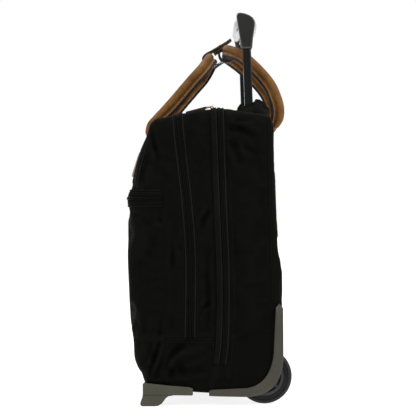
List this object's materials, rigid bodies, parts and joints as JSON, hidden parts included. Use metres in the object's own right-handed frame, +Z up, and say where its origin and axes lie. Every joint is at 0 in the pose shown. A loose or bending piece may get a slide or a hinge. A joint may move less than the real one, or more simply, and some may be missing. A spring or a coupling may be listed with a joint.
{
  "type": "rolling laptop case",
  "caption": "Upright soft nylon laptop case on two wheels, with a telescopic trolley handle, rolled leather carry handles and zipped compartments.",
  "frame": {"origin": "on the ground under the middle of the case's bounding box", "axes": "+Z up, +X towards the back of the case where the wheels and trolley are, +Y across the case to its right-hand side"},
  "size_m": [0.2312, 0.4088, 0.5412],
  "materials": {
    "nylon": "matte tightly woven nylon",
    "lining": "matte woven lining",
    "board": "matte corrugated sheet",
    "olive_plastic": "fine-grained moulded plastic",
    "black_plastic": "fine-grained moulded plastic",
    "grip_plastic": "smooth gloss",
    "tube_black": "black anodised gloss",
    "tube_plain": "plain drawn",
    "steel": "zinc plated",
    "tyre": "matte polyurethane",
    "wheel_hub": "moulded plastic",
    "leather": "smooth vegetable-tanned, waxed",
    "dark_leather": "dark brown, edge painted",
    "patch_leather": "pale tan, flat",
    "brass": "polished gold tone",
    "zip": "ribbed tape with coil"
  },
  "bodies": {
    "rear_case": {"left_rear_gusset": "nylon", "right_rear_gusset": "nylon", "back_panel": "nylon", "rear_base_panel": "nylon", "rear_top_panel": "nylon", "trolley_cover_board": "board", "tube_foot_bracket": "black_plastic", "trolley_bezel": "black_plastic", "trolley_shroud": "nylon", "back_sleeve": "nylon", "left_corner_guard": "olive_plastic", "right_corner_guard": "olive_plastic", "left_wheel_cup": "black_plastic", "right_wheel_cup": "black_plastic", "left_axle": "steel", "right_axle": "steel", "left_outer_tube": "tube_plain", "right_outer_tube": "tube_plain", "main_zip_chain": "zip"},
    "main_section": {"left_main_gusset": "nylon", "right_main_gusset": "nylon", "left_front_foot": "olive_plastic", "right_front_foot": "olive_plastic", "main_top_panel": "nylon", "lower_front_panel": "nylon", "front_base_panel": "nylon", "laptop_divider": "lining", "front_zip_chain": "zip"},
    "front_section": {"left_front_gusset": "nylon", "right_front_gusset": "nylon", "front_top_panel": "nylon", "front_upper_panel": "nylon", "pocket_zip_band": "zip", "front_pocket_panel": "nylon", "pocket_back_panel": "lining", "leather_patch": "patch_leather"},
    "left_wheel": {"left_tyre": "tyre", "left_hub": "wheel_hub"},
    "right_wheel": {"right_tyre": "tyre", "right_hub": "wheel_hub"},
    "trolley_mid_stage": {"left_mid_tube": "tube_black", "right_mid_tube": "tube_black"},
    "trolley_inner_stage": {"left_inner_tube": "tube_black", "right_inner_tube": "tube_black", "trolley_grip": "grip_plastic"},
    "trolley_release": {"release_button": "black_plastic", "release_linkage": "tube_plain"},
    "front_carry": {"front_handle": "leather"},
    "back_carry": {"back_handle": "leather", "keeper_base": "dark_leather"},
    "keeper": {"keeper_flap": "dark_leather", "keeper_stud": "brass"},
    "main_zip_slider": {"main_slider": "brass"},
    "main_zip_pull": {"main_pull": "dark_leather"},
    "front_zip_slider": {"front_slider": "brass"},
    "front_zip_pull": {"front_pull": "dark_leather"},
    "pocket_zip_slider": {"pocket_slider": "brass"},
    "pocket_zip_pull": {"pocket_pull": "dark_leather"},
    "sleeve_top_zip": {"sleeve_top_slider": "brass"},
    "sleeve_base_zip": {"sleeve_base_slider": "brass"}
  },
  "joints": [
    {"name": "main_section_hinge", "type": "hinge", "parent": "rear_case", "child": "main_section", "pos_m": [0.00145, 0, 0.0195], "axis": [0, 1, 0], "range_deg": [-90, 0]},
    {"name": "front_section_hinge", "type": "hinge", "parent": "main_section", "child": "front_section", "pos_m": [-0.09855, 0, 0.0908], "axis": [0, 1, 0], "range_deg": [-75, 0]},
    {"name": "left_wheel_spin", "type": "hinge", "parent": "rear_case", "child": "left_wheel", "pos_m": [0.07795, -0.1665, 0.0377], "axis": [0, 1, 0], "continuous": true},
    {"name": "right_wheel_spin", "type": "hinge", "parent": "rear_case", "child": "right_wheel", "pos_m": [0.07795, 0.1665, 0.0377], "axis": [0, 1, 0], "continuous": true},
    {"name": "trolley_mid_slide", "type": "slide", "parent": "rear_case", "child": "trolley_mid_stage", "axis": [-0.0349, 0, 0.9994], "range_m": [0, 0.25]},
    {"name": "trolley_inner_slide", "type": "slide", "parent": "trolley_mid_stage", "child": "trolley_inner_stage", "axis": [-0.0349, 0, 0.9994], "range_m": [0, 0.23]},
    {"name": "release_press", "type": "slide", "parent": "trolley_inner_stage", "child": "trolley_release", "axis": [0.0349, 0, -0.9994], "range_m": [0, 0.004], "stiffness_N_per_m": 600, "springref_m": -0.004},
    {"name": "front_handle_swing", "type": "hinge", "parent": "front_section", "child": "front_carry", "pos_m": [-0.08645, 0, 0.369], "axis": [0, 1, 0], "range_deg": [-150, 0]},
    {"name": "back_handle_swing", "type": "hinge", "parent": "rear_case", "child": "back_carry", "pos_m": [0.09745, 0, 0.378], "axis": [0, 1, 0], "range_deg": [0, 150]},
    {"name": "keeper_lift", "type": "hinge", "parent": "front_carry", "child": "keeper", "pos_m": [-0.00405, 0, 0.492], "axis": [0, 1, 0], "range_deg": [-120, 0]},
    {"name": "main_slider_run", "type": "slide", "parent": "rear_case", "child": "main_zip_slider", "axis": [0, 1, 0], "range_m": [-0.125, 0.24]},
    {"name": "main_pull_flip", "type": "hinge", "parent": "main_zip_slider", "child": "main_zip_pull", "pos_m": [0.00215, -0.06, 0.4129], "axis": [0, 1, 0], "range_deg": [0, 100]},
    {"name": "front_slider_run", "type": "slide", "parent": "main_section", "child": "front_zip_slider", "axis": [0, 1, 0], "range_m": [-0.315, 0.035]},
    {"name": "front_pull_flip", "type": "hinge", "parent": "front_zip_slider", "child": "front_zip_pull", "pos_m": [-0.04025, 0.1384, 0.3989], "axis": [1, 0, 0], "range_deg": [0, 100]},
    {"name": "pocket_slider_run", "type": "slide", "parent": "front_section", "child": "pocket_zip_slider", "axis": [0, 1, 0], "range_m": [-0.245, 0.12]},
    {"name": "pocket_pull_swing", "type": "hinge", "parent": "pocket_zip_slider", "child": "pocket_zip_pull", "pos_m": [-0.11445, 0.066, 0.274], "axis": [0, 1, 0], "range_deg": [0, 100]},
    {"name": "sleeve_top_slider_run", "type": "slide", "parent": "rear_case", "child": "sleeve_top_zip", "axis": [0, 1, 0], "range_m": [-0.08, 0.185]},
    {"name": "sleeve_base_slider_run", "type": "slide", "parent": "rear_case", "child": "sleeve_base_zip", "axis": [0, 1, 0], "range_m": [-0.08, 0.185]}
  ]
}
